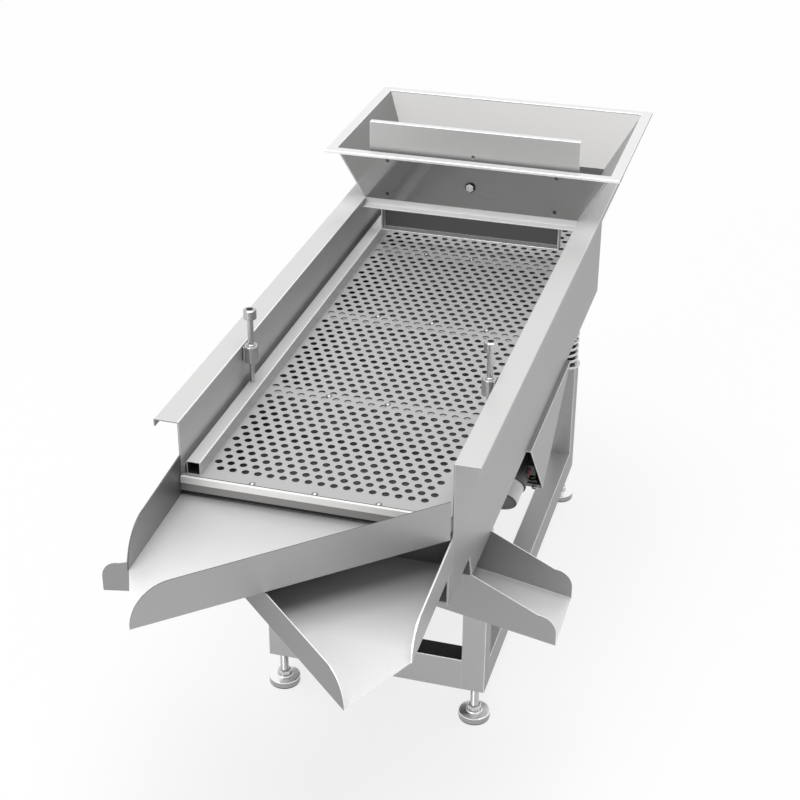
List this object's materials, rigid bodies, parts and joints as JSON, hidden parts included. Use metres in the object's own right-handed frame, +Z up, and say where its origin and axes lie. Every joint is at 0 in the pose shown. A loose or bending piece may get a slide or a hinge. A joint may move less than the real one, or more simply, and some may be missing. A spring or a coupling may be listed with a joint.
{
  "type": "vibrating screen",
  "caption": "Linear vibrating screen: sprung box with perforated deck and layered chutes, feed hopper with sliding gate, motors slung below, frame on levelling feet.",
  "frame": {"origin": "on the floor, under the middle of the overall length and width", "axes": "+Y from the discharge end to the feed hopper, +X to the right seen from the discharge end, +Z up"},
  "size_m": [0.84, 1.99, 1.039],
  "materials": {
    "side_stainless": "fine brushed stainless sheet",
    "bright_stainless": "bright rolled stainless sheet",
    "turned_stainless": "turned stainless",
    "spring_steel": "plated spring wire",
    "motor_paint": "satin dark grey paint",
    "frame_stainless": "brushed stainless box section"
  },
  "bodies": {
    "base": {"frame_posts": "frame_stainless", "frame_side_rails": "frame_stainless", "frame_cross_rails": "frame_stainless", "levelling_feet": "turned_stainless", "foot_nuts": "turned_stainless", "lower_spring_seats": "turned_stainless"},
    "screen_box": {"side_plate_left": "side_stainless", "side_plate_right": "side_stainless", "rear_plate": "side_stainless", "chute_top_left": "side_stainless", "chute_middle_right": "side_stainless", "cross_chute_left": "side_stainless", "cross_chute_right": "side_stainless", "bottom_pan": "side_stainless", "middle_deck": "side_stainless", "lower_deck": "side_stainless", "motor_cheeks": "side_stainless", "motor_plate": "side_stainless", "deck_bearers": "side_stainless", "deck_front_bar": "side_stainless", "top_deck": "bright_stainless", "hopper_front": "bright_stainless", "hopper_rear": "bright_stainless", "hopper_left": "bright_stainless", "hopper_right": "bright_stainless", "hopper_rim": "bright_stainless", "hold_down_left": "bright_stainless", "hold_down_right": "bright_stainless", "clamp_screw_left": "turned_stainless", "clamp_screw_right": "turned_stainless", "screw_bosses": "turned_stainless", "gate_bolt": "turned_stainless", "upper_spring_seats": "turned_stainless", "spring_front_left": "spring_steel", "spring_front_right": "spring_steel", "spring_rear_left": "spring_steel", "spring_rear_right": "spring_steel", "motor_left": "motor_paint", "motor_right": "motor_paint"},
    "gate": {"gate_plate": "bright_stainless"}
  },
  "joints": [
    {"name": "box_float", "type": "slide", "parent": "base", "child": "screen_box", "axis": [0, 0, 1], "range_m": [-0.005, 0.005], "stiffness_N_per_m": 80000, "springref_m": 0.01306, "deforming": ["spring_front_left", "spring_front_right", "spring_rear_left", "spring_rear_right"]},
    {"name": "gate_slide", "type": "slide", "parent": "screen_box", "child": "gate", "axis": [0, 0, -1], "range_m": [0, 0.026]}
  ]
}
